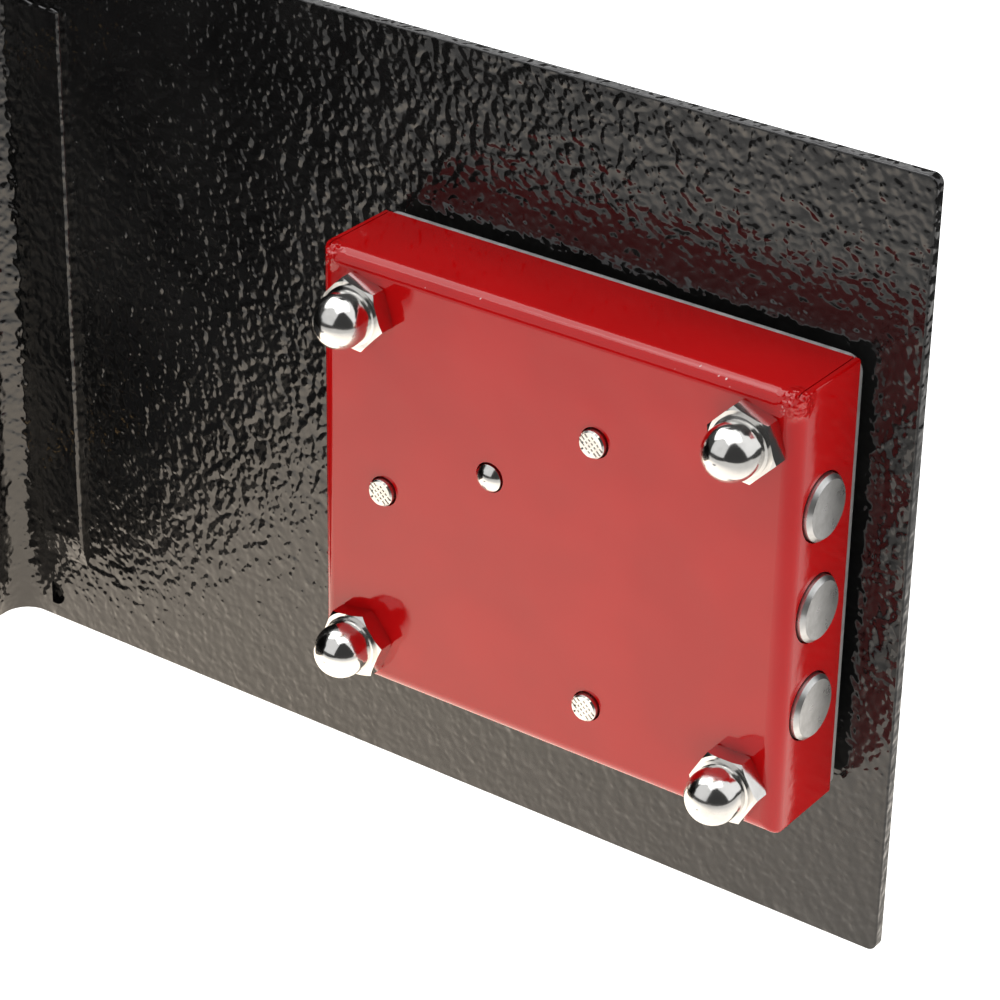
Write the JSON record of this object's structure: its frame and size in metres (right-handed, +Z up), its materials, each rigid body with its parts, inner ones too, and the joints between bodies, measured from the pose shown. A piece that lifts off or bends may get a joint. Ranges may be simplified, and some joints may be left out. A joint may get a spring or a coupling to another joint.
{
  "type": "gun safe",
  "caption": "Compact steel handgun safe with a wrap-round door standing open on lift-off hinges, and a red key lock that throws round bolts behind a keeper.",
  "frame": {"origin": "middle of the base, on the surface that the safe stands on", "axes": "+Z up, -Y out of the front where the door closes, +X towards the hinges"},
  "size_m": [0.2663, 0.3855, 0.1314],
  "materials": {
    "hammertone": "gloss black hammertone powder coat",
    "red_paint": "gloss red powder coat",
    "zinc": "bright zinc plate",
    "nickel": "polished nickel plate",
    "turned_steel": "turned, satin",
    "steel": "bright steel",
    "brass": "stamped brass",
    "spring_steel": "blued spring steel",
    "foam": "dark foam with a felt face"
  },
  "bodies": {
    "body": {"body_shell": "hammertone", "back_panel": "hammertone", "door_stop_bottom": "hammertone", "door_stop_top": "hammertone", "bolt_keeper": "hammertone", "floor_mat": "foam", "body_knuckle_lower": "hammertone", "body_knuckle_upper": "hammertone", "hinge_pin_lower": "steel", "hinge_pin_upper": "steel", "hinge_washer_lower": "brass", "hinge_washer_upper": "brass"},
    "door": {"door_plate": "hammertone", "door_strip": "hammertone", "door_knuckle_lower": "hammertone", "door_knuckle_upper": "hammertone", "lock_back_plate": "zinc", "lock_case": "red_paint", "lock_studs": "steel", "stud_spacers": "steel", "cap_nut_upper_hinge_side": "nickel", "cap_nut_upper_bolt_side": "nickel", "cap_nut_lower_hinge_side": "nickel", "cap_nut_lower_bolt_side": "nickel", "lever_pivot_post": "turned_steel", "guide_post_upper": "turned_steel", "guide_post_lower": "turned_steel", "key_post": "nickel", "escutcheon": "nickel", "escutcheon_rivets": "nickel"},
    "bolts": {"bolt_carriage": "steel", "bolt_lower": "turned_steel", "bolt_middle": "turned_steel", "bolt_upper": "turned_steel", "bolt_rivets": "steel", "lever_stump": "steel"},
    "throw_cam": {"throw_cam": "brass", "crank_pin": "steel"},
    "key": {"key": "nickel"},
    "lever_1": {"lever_1": "brass", "lever_spring_1": "spring_steel"},
    "lever_2": {"lever_2": "brass", "lever_spring_2": "spring_steel"},
    "lever_3": {"lever_3": "brass", "lever_spring_3": "spring_steel"},
    "lever_4": {"lever_4": "brass", "lever_spring_4": "spring_steel"}
  },
  "joints": [
    {"name": "door_hinge", "type": "hinge", "parent": "body", "child": "door", "pos_m": [0.0907, -0.104, 0.0655], "axis": [0, 0, 1], "range_deg": [-108, 67]},
    {"name": "key_turn", "type": "hinge", "parent": "door", "child": "throw_cam", "pos_m": [0.13971, -0.20952, 0.0721], "axis": [-0.9511, -0.309, 0], "range_deg": [0, 180]},
    {"name": "bolt_throw", "type": "slide", "parent": "door", "child": "bolts", "axis": [0.309, -0.9511, 0], "range_m": [0, 0.0074]},
    {"name": "key_withdraw", "type": "slide", "parent": "throw_cam", "child": "key", "axis": [0.9511, 0.309, 0], "range_m": [0, 0.04]},
    {"name": "lever_1_lift", "type": "hinge", "parent": "door", "child": "lever_1", "pos_m": [0.12766, -0.19314, 0.0635], "axis": [-0.9511, -0.309, 0], "range_deg": [0, 4], "stiffness_Nm_per_rad": 0.02, "springref_deg": -14.32},
    {"name": "lever_2_lift", "type": "hinge", "parent": "door", "child": "lever_2", "pos_m": [0.12651, -0.19351, 0.0635], "axis": [-0.9511, -0.309, 0], "range_deg": [0, 4], "stiffness_Nm_per_rad": 0.02, "springref_deg": -14.32},
    {"name": "lever_3_lift", "type": "hinge", "parent": "door", "child": "lever_3", "pos_m": [0.12537, -0.19388, 0.0635], "axis": [-0.9511, -0.309, 0], "range_deg": [0, 4], "stiffness_Nm_per_rad": 0.02, "springref_deg": -14.32},
    {"name": "lever_4_lift", "type": "hinge", "parent": "door", "child": "lever_4", "pos_m": [0.12423, -0.19426, 0.0635], "axis": [-0.9511, -0.309, 0], "range_deg": [0, 4], "stiffness_Nm_per_rad": 0.02, "springref_deg": -14.32}
  ],
  "couplings": [
    {"joint": "key_turn", "follows": "bolt_throw", "rad_per_m": 424.54}
  ]
}
